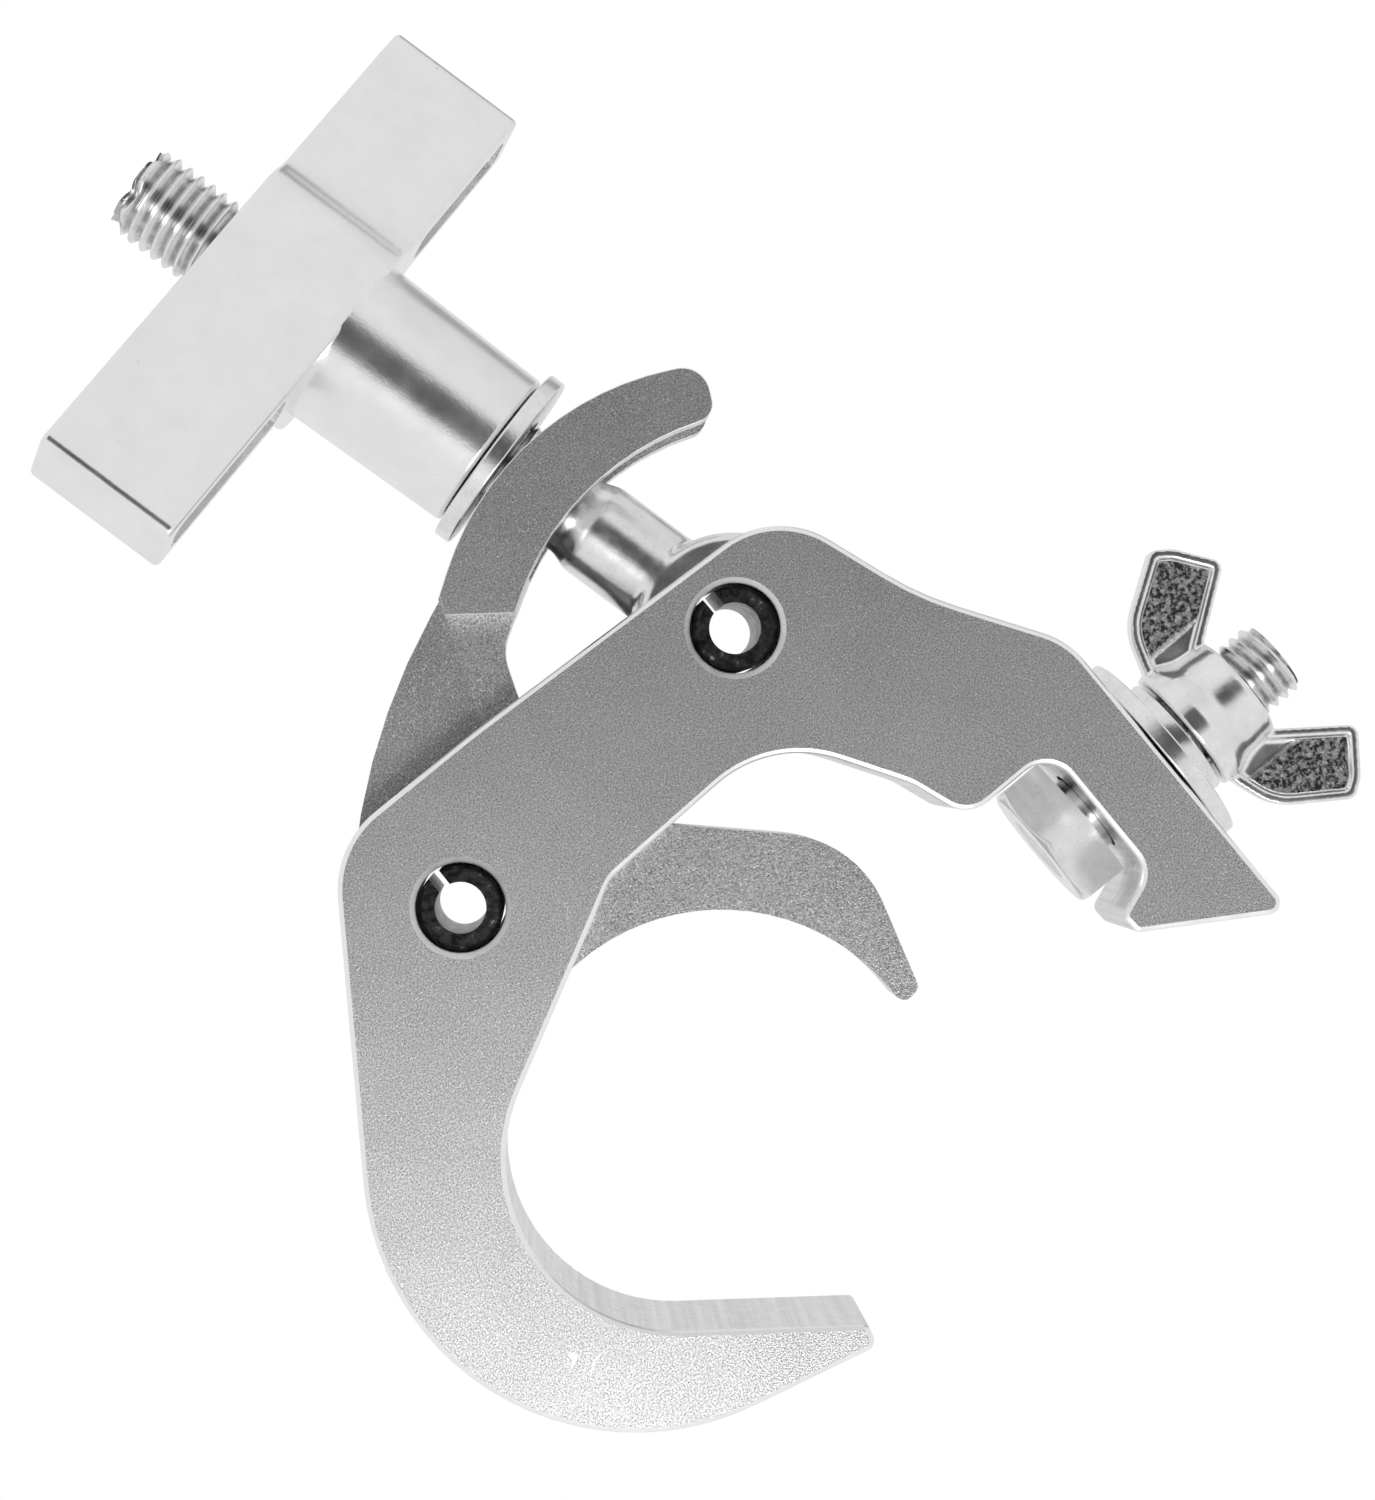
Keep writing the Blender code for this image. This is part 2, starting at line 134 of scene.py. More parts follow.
def blasted_aluminium(name, cut_marks=False):
    """Blasted sides with a fine sparkle, bright milled rims and walls."""
    mat, g, shader, coords = new_material(name)
    place = coords.outputs["Object"]
    side = side_mask(g, coords)
    grain = g.noise(place, 4200.0, 2.0, 0.7)
    speck = g.noise(place, 3600.0, 1.0, 0.5)
    cloud = g.noise(place, 90.0, 2.0, 0.5)
    base = g.step(grain, 0.32, 0.68, 0.20, 0.94, smooth=False)
    base = g.math("ADD", base, g.step(speck, 0.62, 0.72, 0.0, 0.7))
    base = g.math("ADD", base, g.step(cloud, 0.2, 0.8, -0.03, 0.03, smooth=False))
    cells = g.node("ShaderNodeTexVoronoi", feature="DISTANCE_TO_EDGE")
    bent = g.node("ShaderNodeVectorMath", operation="ADD")
    wobble = g.node("ShaderNodeTexNoise", {"Scale": 55.0, "Detail": 1.0, "Vector": place})
    shift = g.node("ShaderNodeVectorMath", {0: wobble.outputs["Color"], "Scale": 0.03}, operation="SCALE")
    g.put(bent.inputs[0], place)
    g.put(bent.inputs[1], shift.outputs[0])
    g.put(cells.inputs["Vector"], bent.outputs[0])
    cells.inputs["Scale"].default_value = 75.0
    line = g.step(cells.outputs["Distance"], 0.002, 0.006, 1.0, 0.0)
    patch = g.step(g.noise(place, 130.0, 1.0), 0.64, 0.70)
    scratch = g.math("MULTIPLY", g.math("MULTIPLY", line, patch), 0.35)
    base = g.math("ADD", base, scratch)
    if cut_marks:
        split = g.node("ShaderNodeSeparateXYZ", {0: place})
        deep = g.step(g.math("ABSOLUTE", split.outputs[1]), 0.0064, 0.0066, 1.0, 0.0)
        along = g.node("ShaderNodeMapping", {"Vector": place, "Scale": (14.0, 1.0, 420.0)})
        marks = g.step(g.noise(along.outputs[0], 1.0, 1.0, 0.4), 0.66, 0.69)
        thin = g.step(g.noise(along.outputs[0], 3.3, 0.0), 0.52, 0.56)
        strokes = g.math("MULTIPLY", g.math("MULTIPLY", marks, thin), g.math("MULTIPLY", deep, 0.7))
        base = g.math("ADD", base, strokes)
        base = g.math("SUBTRACT", base, g.math("MULTIPLY", deep, 0.06))
    base = g.math("MAXIMUM", base, 0.05)
    across = g.node("ShaderNodeMapping", {"Vector": place, "Scale": (900.0, 14.0, 900.0)})
    drawn = g.noise(across.outputs[0], 1.0, 2.0, 0.6)
    facing = g.node("ShaderNodeSeparateXYZ", {0: coords.outputs["Normal"]})
    upright = g.step(g.math("ABSOLUTE", facing.outputs[1]), 0.05, 0.25, 1.0, 0.0)
    lines = g.step(drawn, 0.3, 0.7, 0.34, 0.14, smooth=False)
    wall = g.math("SUBTRACT", 0.94, g.math("MULTIPLY", upright, lines))
    colour = g.mix(side, grey(g, wall), grey(g, base))
    g.put(shader.inputs["Base Color"], colour)
    shader.inputs["Metallic"].default_value = 1.0
    rough_side = g.step(grain, 0.3, 0.7, 0.38, 0.26, smooth=False)
    rough_wall = g.step(g.noise(place, 500.0, 2.0), 0.3, 0.7, 0.24, 0.34, smooth=False)
    rough = g.node("ShaderNodeMix", data_type="FLOAT")
    for index, value in ((0, side), (2, rough_wall), (3, rough_side)):
        g.put(rough.inputs[index], value)
    g.put(shader.inputs["Roughness"], rough.outputs[0])
    g.put(shader.inputs["Normal"], g.bump(g.math("MULTIPLY", grain, side), 0.35, 0.00012))
    return mat


def polished_casting(name):
    """The knob's smooth bright casting, softly mottled, with linished end faces."""
    mat, g, shader, coords = new_material(name)
    place = coords.outputs["Object"]
    mottle = g.noise(place, 170.0, 4.0, 0.62)
    fine = g.noise(place, 2600.0, 2.0, 0.6)
    tone = g.step(mottle, 0.3, 0.7, 0.86, 0.92, smooth=False)
    pits = g.step(g.noise(place, 900.0, 1.0), 0.2, 0.16, 0.0, 0.35)
    g.put(shader.inputs["Base Color"], grey(g, g.math("SUBTRACT", tone, pits)))
    shader.inputs["Metallic"].default_value = 1.0
    g.put(shader.inputs["Roughness"], g.step(mottle, 0.3, 0.7, 0.20, 0.27, smooth=False))
    height = g.math("ADD", g.math("MULTIPLY", fine, 0.5), g.noise(place, 420.0, 3.0, 0.55))
    g.put(shader.inputs["Normal"], g.bump(height, 0.16, 0.0002))
    return mat


def axis_distance(graph, place, point, direction):
    """Distance of the shaded point from a straight line."""
    away = graph.node("ShaderNodeVectorMath", {0: place, 1: point}, operation="SUBTRACT")
    cross = graph.node("ShaderNodeVectorMath", {0: away.outputs[0], 1: direction}, operation="CROSS_PRODUCT")
    return graph.node("ShaderNodeVectorMath", {0: cross.outputs[0]}, operation="LENGTH").outputs["Value"]


def bright_zinc(name, rough=0.16, thread=None):
    """Bright zinc plate with faint stains; the grooves of a thread get a painted shade, darker below its
    crests.
    """
    mat, g, shader, coords = new_material(name)
    place = coords.outputs["Object"]
    stain = g.noise(place, 240.0, 4.0, 0.65)
    fine = g.noise(place, 2600.0, 2.0, 0.6)
    tone = g.step(stain, 0.25, 0.75, 0.74, 0.94, smooth=False)
    tone = g.math("SUBTRACT", tone, g.step(fine, 0.62, 0.75, 0.0, 0.25))
    if thread:
        point, direction, crest = thread
        reach = axis_distance(g, place, point, direction)
        # painted shade: below the thread's crests the colour is darkened, patchy with noise, where the
        # grooves fall into shade
        oxide_film_and_groove_shade = g.step(reach, crest - 1.0 * MM, crest - 0.4 * MM, 0.34, 0.0)
        oxide_film_and_groove_shade = g.math("MULTIPLY", oxide_film_and_groove_shade, g.step(g.noise(place, 420.0, 3.0, 0.6), 0.3, 0.55, 0.35, 1.0))
        tone = g.math("SUBTRACT", tone, oxide_film_and_groove_shade)
    g.put(shader.inputs["Base Color"], grey(g, g.math("MAXIMUM", tone, 0.06)))
    shader.inputs["Metallic"].default_value = 1.0
    g.put(shader.inputs["Roughness"], g.step(stain, 0.3, 0.7, rough, rough + 0.12, smooth=False))
    g.put(shader.inputs["Normal"], g.bump(g.math("ADD", stain, g.math("MULTIPLY", fine, 0.4)), 0.18, 0.00015))
    return mat


def cast_zinc(name, half, inner):
    """Wing nut plate: bright, with dark rough forged panels sunk in the wings' sides."""
    mat, g, shader, coords = new_material(name)
    place = coords.outputs["Object"]
    split = g.node("ShaderNodeSeparateXYZ", {0: place})
    depth = g.step(g.math("ABSOLUTE", split.outputs[1]), half - 0.00045, half - 0.00015, 1.0, 0.0)
    out = g.step(g.math("ABSOLUTE", split.outputs[0]), inner, inner + 0.0012)
    ragged = g.step(g.noise(place, 900.0, 2.0), 0.3, 0.5)
    panel = g.math("MULTIPLY", g.math("MULTIPLY", depth, side_mask(g, coords, 0.80, 0.93)), out)
    panel = g.math("MULTIPLY", panel, g.math("MAXIMUM", ragged, 0.75))
    coarse = g.noise(place, 1500.0, 3.0, 0.7)
    spots = g.step(coarse, 0.45, 0.75, 0.03, 0.50, smooth=False)
    stain = g.noise(place, 260.0, 4.0, 0.65)
    tone = g.step(stain, 0.25, 0.75, 0.76, 0.95, smooth=False)
    g.put(shader.inputs["Base Color"], g.mix(panel, grey(g, tone), grey(g, spots)))
    shader.inputs["Metallic"].default_value = 1.0
    rough = g.math("ADD", g.step(stain, 0.3, 0.7, 0.14, 0.24, smooth=False), g.math("MULTIPLY", panel, 0.22))
    g.put(shader.inputs["Roughness"], rough)
    first = g.bump(stain, 0.15, 0.0002)
    g.put(shader.inputs["Normal"], g.bump(g.math("MULTIPLY", coarse, panel), 0.8, 0.0004, first))
    return mat


def blackened_steel(name):
    mat, g, shader, coords = new_material(name)
    place = coords.outputs["Object"]
    worn = g.noise(place, 700.0, 4.0, 0.65)
    split = g.node("ShaderNodeSeparateXYZ", {0: coords.outputs["Normal"]})
    # painted sheen: walls and chamfers, whose normals turn away from Y, are made lighter in the colour
    edge = g.step(g.math("ABSOLUTE", split.outputs[1]), 0.3, 0.7, 1.0, 0.0)
    oxide_film_and_groove_shade = g.step(worn, 0.35, 0.75, 0.012, 0.07, smooth=False)
    tone = g.math("ADD", oxide_film_and_groove_shade, g.step(worn, 0.62, 0.7, 0.0, 0.25))
    # the painted sheen on the walls is added to the colour here
    tone = g.math("ADD", tone, g.math("MULTIPLY", edge, 0.05))
    g.put(shader.inputs["Base Color"], grey(g, tone))
    shader.inputs["Metallic"].default_value = 0.7
    g.put(shader.inputs["Roughness"], g.step(worn, 0.3, 0.7, 0.22, 0.42, smooth=False))
    g.put(shader.inputs["Normal"], g.bump(worn, 0.3, 0.0002))
    return mat


BLASTED = blasted_aluminium("blasted_aluminium_look")
MILLED = blasted_aluminium("milled_aluminium_look", cut_marks=True)
POLISHED = polished_casting("polished_casting_look")
ZINC = bright_zinc("bright_zinc_look")
BOLT_AXIS = Vector((math.cos(BOLT_ANGLE), 0.0, math.sin(BOLT_ANGLE)))
SWING_THREAD_R, FIXTURE_THREAD_R = 6.95, 5.85
SWING_ZINC = bright_zinc("swing_bolt_zinc_look", thread=(BOLT_PIVOT, BOLT_AXIS, SWING_THREAD_R * MM))
FIXTURE_LINE = (Vector(), Vector((0, 0, 1)), FIXTURE_THREAD_R * MM)
LOAD_ZINC = bright_zinc("fixture_bolt_zinc_look", thread=FIXTURE_LINE)
BLACK = blackened_steel("blackened_steel_look")
WING = cast_zinc("wing_nut_zinc_look", 2.0 * MM, 10.5 * MM)


# Shapes -----------------------------------------------------------------------------------


def piece(name, mesh_data, mat, body, *replaced, smooth_angle=40.0, weighted=True):
    """A finished piece from a bmesh, riding on its body and standing for its CAD nodes."""
    mesh = bpy.data.meshes.new(name)
    mesh_data.normal_update()
    mesh_data.to_mesh(mesh)
    mesh_data.free()
    mesh.shade_smooth()
    mesh.set_sharp_from_angle(angle=math.radians(smooth_angle))
    obj = bpy.data.objects.new(name, mesh)
    bpy.context.scene.collection.objects.link(obj)
    mesh.materials.append(mat)
    if weighted:
        obj.modifiers.new("face_normals", "WEIGHTED_NORMAL").keep_sharp = True
    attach(obj, body)
    if replaced:
        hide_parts(*replaced)
    return obj


def rounded(corners, step=3.0):
    """Points of the outline through the corners (x, z, radius), each fillet as a true arc."""
    points = []
    count = len(corners)
    for i, (x, z, radius) in enumerate(corners):
        corner = Vector((x, z))
        before = (Vector(corners[i - 1][:2]) - corner).normalized()
        after = (Vector(corners[(i + 1) % count][:2]) - corner).normalized()
        half = before.angle(after) / 2
        turn = math.pi - 2 * half
        if radius == 0 or turn < 1e-4:
            points.append(corner)
            continue
        centre = corner + (before + after).normalized() * (radius / math.sin(half))
        start = corner + before * (radius / math.tan(half)) - centre
        side = 1 if before.cross(after) < 0 else -1
        steps = max(2, math.ceil(math.degrees(turn) / step))
        for k in range(steps + 1):
            spun = start.copy()
            spun.rotate(Matrix.Rotation(side * turn * k / steps, 2))
            points.append(centre + spun)
    return points


def prism(points, half, bevel=0.0, segments=4):
    """An outline in millimetres in XZ as a closed solid from -half to half along Y."""
    made = bmesh.new()
    ring = [made.verts.new((p.x * MM, -half * MM, p.y * MM)) for p in points]
    face = made.faces.new(ring)
    pushed = bmesh.ops.extrude_face_region(made, geom=[face])
    moved = [v for v in pushed["geom"] if isinstance(v, bmesh.types.BMVert)]
    bmesh.ops.translate(made, verts=moved, vec=(0, 2 * half * MM, 0))
    bmesh.ops.recalc_face_normals(made, faces=made.faces)
    if bevel:
        rims = [e for e in made.edges if abs(e.verts[0].co.y - e.verts[1].co.y) < 1e-9]
        bmesh.ops.bevel(
            made,
            geom=rims,
            offset=bevel * MM,
            segments=segments,
            profile=0.5,
            affect="EDGES",
            clamp_overlap=True,
        )
    return made


def turned(profile, steps=96, closed=False):
    """A profile of (radius, height) in millimetres turned about Z as a closed solid."""
    made = bmesh.new()
    rows = []
    for radius, height in profile:
        if radius == 0:
            rows.append([made.verts.new((0, 0, height * MM))])
            continue
        row = []
        for k in range(steps):
            t = 2 * math.pi * k / steps
            row.append(made.verts.new((radius * MM * math.cos(t), radius * MM * math.sin(t), height * MM)))
        rows.append(row)
    pairs = list(zip(rows, rows[1:]))
    if closed:
        pairs.append((rows[-1], rows[0]))
    for upper, lower in pairs:
        for k in range(steps):
            n = (k + 1) % steps
            if len(upper) == 1:
                made.faces.new((upper[0], lower[k], lower[n]))
            elif len(lower) == 1:
                made.faces.new((upper[k], lower[0], upper[n]))
            else:
                made.faces.new((upper[k], lower[k], lower[n], upper[n]))
    bmesh.ops.recalc_face_normals(made, faces=made.faces)
    return made


def smooth_profile(corners, step=12.0):
    """A (radius, height) profile whose corners (r, h, fillet) are rounded; its two ends stay."""
    ends = [Vector(corners[0][:2]), Vector(corners[-1][:2])]
    inner = rounded([(ends[1].x, ends[1].y, 0.0)] + [(ends[0].x, ends[0].y, 0.0)] + corners[1:-1], step)
    return [tuple(ends[0])] + [tuple(p) for p in inner[2:]] + [tuple(ends[1])]


def thread(radius, pitch, depth, start, end, steps=72, lead=1.5):
    """A right-hand thread as a closed solid along Z, run out towards both ends."""
    form = ((0.00, 0.0), (0.06, 0.05), (0.40, 0.86), (0.47, 1.0), (0.56, 1.0), (0.63, 0.86), (0.97, 0.05))
    made = bmesh.new()
    first = math.floor(start / pitch) - 2
    last = math.ceil(end / pitch) + 2
    rows = []
    for turn in range(first, last):
        for share, rise in form:
            row = []
            for k in range(steps):
                height = (turn + share + k / steps) * pitch
                height = min(max(height, start), end)
                ease = min(1.0, (height - start) / (lead * pitch), (end - height) / (0.6 * pitch) + 0.25)
                r = radius - depth * (1.0 - rise * max(0.0, ease))
                t = 2 * math.pi * k / steps
                row.append(made.verts.new((r * MM * math.cos(t), r * MM * math.sin(t), height * MM)))
            rows.append(row)
    per_turn = len(form)
    for i in range(len(rows) - 1):
        for k in range(steps):
            if k + 1 < steps:
                made.faces.new((rows[i][k], rows[i][k + 1], rows[i + 1][k + 1], rows[i + 1][k]))
            elif i + per_turn + 1 < len(rows):
                made.faces.new((rows[i][k], rows[i + per_turn][0], rows[i + per_turn + 1][0], rows[i + 1][k]))
    flat = [f for f in made.faces if f.calc_area() < 1e-14]
    bmesh.ops.delete(made, geom=flat, context="FACES")
    bmesh.ops.remove_doubles(made, verts=made.verts, dist=1e-7)
    for level in (start, end):
        rim = [v for v in made.verts if abs(v.co.z - level * MM) < 1e-8]
        centre = made.verts.new((0, 0, level * MM))
        rim.sort(key=lambda v: math.atan2(v.co.y, v.co.x))
        tidy = [v for i, v in enumerate(rim) if (v.co - rim[i - 1].co).length > 1e-8]
        for a, b in zip(tidy, tidy[1:] + tidy[:1]):
            made.faces.new((a, b, centre))
    return made


def joined(*parts):
    """One bmesh from several, each given with the matrix that puts it in place."""
    made = bmesh.new()
    for part, matrix in parts:
        bmesh.ops.transform(part, matrix=matrix, verts=part.verts)
        scratch = bpy.data.meshes.new("scratch")
        part.to_mesh(scratch)
        part.free()
        made.from_mesh(scratch)
        bpy.data.meshes.remove(scratch)
    return made


def fused(source, voxel, smoothing):
    """The union of overlapping closed solids as one skin, its inner corners softened."""
    mesh = bpy.data.meshes.new("fuse")
    source.to_mesh(mesh)
    source.free()
    obj = bpy.data.objects.new("fuse", mesh)
    bpy.context.scene.collection.objects.link(obj)
    remesh = obj.modifiers.new("remesh", "REMESH")
    remesh.mode = "VOXEL"
    remesh.voxel_size = voxel
    soften = obj.modifiers.new("soften", "SMOOTH")
    soften.factor = 0.5
    soften.iterations = smoothing
    bpy.context.view_layer.update()
    evaluated = obj.evaluated_get(bpy.context.evaluated_depsgraph_get())
    result = bmesh.new()
    result.from_mesh(evaluated.to_mesh())
    evaluated.to_mesh_clear()
    bpy.data.objects.remove(obj)
    bpy.data.meshes.remove(mesh)
    return result


def combined(source, other, operation):
    """The result of a boolean of two closed solids given as bmeshes, which it uses up."""
    objects = []
    for data in (source, other):
        mesh = bpy.data.meshes.new("operand")
        data.to_mesh(mesh)
        data.free()
        obj = bpy.data.objects.new("operand", mesh)
        bpy.context.scene.collection.objects.link(obj)
        objects.append(obj)
    boolean = objects[0].modifiers.new("boolean", "BOOLEAN")
    boolean.operation = operation
    boolean.object = objects[1]
    boolean.solver = "EXACT"
    bpy.context.view_layer.update()
    evaluated = objects[0].evaluated_get(bpy.context.evaluated_depsgraph_get())
    result = bmesh.new()
    result.from_mesh(evaluated.to_mesh())
    evaluated.to_mesh_clear()
    for obj in objects:
        mesh = obj.data
        bpy.data.objects.remove(obj)
        bpy.data.meshes.remove(mesh)
    return result


def cut(source, cutter):
    """source minus cutter."""
    return combined(source, cutter, "DIFFERENCE")


# Hook, jaw and pins keep their CAD shapes ------------------------------------------------


def dress(node, mat):
    """A carried-over CAD node with its look."""
    obj = NODES[node]
    obj.data.materials.clear()
    obj.data.materials.append(mat)
    obj.modifiers.new("face_normals", "WEIGHTED_NORMAL").keep_sharp = True


dress("hook_body", BLASTED)
dress("trigger_arm", MILLED)
dress("jaw_pivot_pin", BLACK)
dress("eye_bolt_pin", BLACK)


# Swing bolt -------------------------------------------------------------------------------


BOLT_END = 105.8
STAKE_LENGTH = 3.4
EYE_R, EYE_HALF, EYE_BORE_R = 13.8, 7.2, 6.3


def staked(made, end):
    """Hammers the last crests of the bolt's end, so that the knob can't be wound off."""
    for vert in made.verts:
        t = vert.co.z / MM
        if t < end - STAKE_LENGTH:
            continue
        share = min(1.0, (t - end + STAKE_LENGTH) / STAKE_LENGTH)
        turn = math.atan2(vert.co.y, vert.co.x)
        dent = noise.noise(Vector((math.cos(turn) * 2.1, math.sin(turn) * 2.1, t * 0.35)))
        dent = max(0.0, dent + 0.12) * 2.2
        rough = noise.noise(vert.co * 900.0) * 0.25
        radius = Vector((vert.co.x, vert.co.y, 0.0))
        if radius.length > 1e-5:
            vert.co -= radius.normalized() * (dent + rough) * share * MM * 0.8
        vert.co.z -= (max(0.0, dent * 0.5) + abs(rough)) * share * MM
    return made


def make_eye_bolt():
    rounds = smooth_profile([(0, EYE_HALF), (EYE_R, EYE_HALF, 1.2), (EYE_R, -EYE_HALF, 1.2), (0, -EYE_HALF)])
    eye = turned(rounds, 96)
    lay = Matrix.Rotation(math.pi / 2, 4, "X")
    neck = [(0, 30.0), (6.2, 30.0, 0.2), (6.2, 27.0, 0.6), (7.1, 24.6, 0.5), (7.1, 2.0, 0.2), (0, 2.0)]
    barrel = turned(smooth_profile(neck))
    upright = Matrix.Identity(4)
    spin = Matrix.Rotation(-(math.pi / 2 - BOLT_ANGLE), 4, "Y") @ lay
    skin = fused(joined((eye, spin), (barrel, upright)), 0.00045, 7)
    bore = turned([(0, 20.0), (EYE_BORE_R, 20.0), (EYE_BORE_R, -20.0), (0, -20.0)], 72)
    bmesh.ops.transform(bore, matrix=spin, verts=bore.verts)
    skin = cut(skin, bore)
    screw = staked(thread(SWING_THREAD_R, 2.0, 1.15, 28.0, BOLT_END), BOLT_END)
    whole = joined((skin, upright), (screw, upright))
    bmesh.ops.transform(whole, matrix=BOLT_FRAME, verts=whole.verts)
    made = piece(
        "eye_bolt_detail", whole, SWING_ZINC, "swing_bolt", "eye_bolt", smooth_angle=50.0, weighted=False
    )


make_eye_bolt()


# Knob and its washer ----------------------------------------------------------------------

WASHER_AT, WASHER_T = 39.8, 2.5
BOSS_AT, BOSS_TOP = 42.6, 68.8
HANDLE_H, HANDLE_TURN = 21.9, 25.7
BOSS_R_LOW, BOSS_R_HIGH = 12.2, 12.8
KNOB_BORE_R, KNOB_MOUTH_R = 7.3, 8.2
HANDLE_LONG, HANDLE_SHORT = 46.4, 42.0  # the two wings, from the bolt's axis to their ends
HANDLE_FACE, HANDLE_STEP = 12.0, 9.2  # how far the long and the short wing's fronts stand off
WING_T = 12.0
HANDLE_CORNER = 1.6
POCKET_RIM, POCKET_DEPTH = 2.4, 2.0
POCKET_START, POCKET_END = 17.5, 2.6  # from the bolt's axis, and short of the wing's end


def handle_outline():
    return rounded(
        [
            (-HANDLE_LONG, -HANDLE_FACE, HANDLE_CORNER),
            (9.1, -HANDLE_FACE, 6.4),
            (12.8, -HANDLE_STEP, 6.4),
            (HANDLE_SHORT, -HANDLE_STEP, HANDLE_CORNER),
            (HANDLE_SHORT, WING_T - HANDLE_STEP, HANDLE_CORNER),
            (16.5, WING_T - HANDLE_STEP, 4.0),
            (11.5, 12.6, 6.0),
            (-11.5, 12.6, 6.0),
            (-16.5, WING_T - HANDLE_FACE, 4.0),
            (-HANDLE_LONG, WING_T - HANDLE_FACE, HANDLE_CORNER),
        ]
    )


def make_knob():
    boss = turned(
        smooth_profile(
            [
                (0, BOSS_TOP + 2),
                (BOSS_R_LOW - 2, BOSS_TOP + 2, 0.0),
                (BOSS_R_LOW - 2, BOSS_TOP + 0.6, 0.0),
                (BOSS_R_HIGH, BOSS_TOP + 0.6, 0.2),
                (BOSS_R_LOW, BOSS_AT, 0.9),
                (0, BOSS_AT),
            ]
        )
    )
    block = prism(handle_outline(), HANDLE_H / 2, 0.75, 4)
    lift = Matrix.Translation((0, 0, (BOSS_TOP + HANDLE_H / 2) * MM))
    turn = Matrix.Rotation(math.radians(HANDLE_TURN), 4, "Z") @ lift @ Matrix.Rotation(-math.pi / 2, 4, "X")
    bmesh.ops.transform(block, matrix=turn, verts=block.verts)
    top = BOSS_TOP + HANDLE_H
    chamfer = KNOB_MOUTH_R - KNOB_BORE_R
    bore = [
        (0, 120.0),
        (KNOB_MOUTH_R, 120.0),
        (KNOB_MOUTH_R, top),
        (KNOB_BORE_R, top - chamfer),
        (KNOB_BORE_R, BOSS_AT + chamfer),
        (KNOB_MOUTH_R, BOSS_AT),
        (KNOB_MOUTH_R, 20.0),
        (0, 20.0),
    ]
    body = cut(combined(boss, block, "UNION"), turned(bore, 72))
    body = cut(body, wing_pocket(-HANDLE_LONG + POCKET_END, -POCKET_START, -HANDLE_FACE))
    body = cut(body, wing_pocket(POCKET_START, HANDLE_SHORT - POCKET_END, -HANDLE_STEP))
    bmesh.ops.transform(body, matrix=BOLT_FRAME, verts=body.verts)
    made = piece("knob_detail", body, POLISHED, "handle", "knob", smooth_angle=30.0)


def wing_pocket(start, end, front):
    """The shallow hollow cast into the underside of a wing."""
    low, high = front + POCKET_RIM, front + WING_T - POCKET_RIM
    corners = [(start, low, 2.0), (end, low, 2.0), (end, high, 2.0), (start, high, 2.0)]
    pocket = prism(rounded(corners, 10.0), POCKET_DEPTH)
    lay = Matrix.Translation((0, 0, BOSS_TOP * MM)) @ Matrix.Rotation(-math.pi / 2, 4, "X")
    turn = Matrix.Rotation(math.radians(HANDLE_TURN), 4, "Z") @ lay
    bmesh.ops.transform(pocket, matrix=turn, verts=pocket.verts)
    return pocket


make_knob()


def ring_profile(inner, outer, low, high, fillet):
    """A washer's cross section with all four corners rounded."""
    corners = [(inner, high, fillet), (outer, high, fillet), (outer, low, fillet), (inner, low, fillet)]
    return [tuple(p) for p in rounded(corners, 15.0)]


def make_washer(name, inner, outer, low, thick, matrix, body, node, fillet=0.35):
    made = turned(ring_profile(inner, outer, low, low + thick, fillet), 128, closed=True)
    bmesh.ops.transform(made, matrix=matrix, verts=made.verts)
    piece(name, made, ZINC, body, node)


make_washer("knob_washer_detail", 7.5, 14.0, WASHER_AT, WASHER_T, BOLT_FRAME, "washer", "knob_washer")
make_washer("fixture_washer_detail", 6.5, 15.0, 88.1, 2.5, DOWN_FRAME, "hook", "fixture_washer", 0.3)


# Fixture bolt, spring washer and wing nut -------------------------------------------------


def hexagon(across, low, high, turn):
    """A bolt head: a hexagon whose corners are cut back by a cone on its top."""
    made = bmesh.new()
    radius = across / 2 / math.cos(math.radians(30))
    corners = [math.radians(turn + 60 * k) for k in range(6)]
    rings = []
    steps = 14
    for height, limit in ((low, 99.0), (low + 0.35, None), (high, None)):
        row = []
        for k in range(6):
            a, b = corners[k], corners[(k + 1) % 6]
            start = Vector((math.cos(a), math.sin(a))) * radius
            finish = Vector((math.cos(b), math.sin(b))) * radius
            for i in range(steps):
                p = start.lerp(finish, i / steps)
                z = height
                if height == low + 0.35:
                    z = low + max(0.0, p.length - across / 2) * 0.58 + 0.25
                if limit:
                    p = p.normalized() * min(p.length, across / 2 * 0.96)
                row.append(made.verts.new((p.x * MM, p.y * MM, z * MM)))
        rings.append(row)
    count = len(rings[0])
    for upper, lower in zip(rings, rings[1:]):
        for k in range(count):
            made.faces.new((upper[k], upper[(k + 1) % count], lower[(k + 1) % count], lower[k]))
    made.faces.new(rings[0])
    made.faces.new(list(reversed(rings[-1])))
    bmesh.ops.recalc_face_normals(made, faces=made.faces)
    return made


HEAD_ACROSS, HEAD_TOP, HEAD_BASE, HEAD_TURN = 19.0, 67.3, 74.5, 26.0
FIXTURE_END = 110.9


def make_fixture_bolt():
    head = hexagon(HEAD_ACROSS, HEAD_TOP, HEAD_BASE, HEAD_TURN)
    shank = turned([(0, 80.0), (FIXTURE_THREAD_R, 80.0), (FIXTURE_THREAD_R, 74.0), (0, 74.0)], 72)
    screw = thread(FIXTURE_THREAD_R, 1.75, 1.0, 79.0, FIXTURE_END)
    level = Matrix.Identity(4)
    whole = joined((head, level), (shank, level), (screw, level))
    bmesh.ops.transform(whole, matrix=DOWN_FRAME, verts=whole.verts)
    made = piece("fixture_bolt_detail", whole, LOAD_ZINC, "hook", "fixture_bolt", smooth_angle=38.0)


make_fixture_bolt()


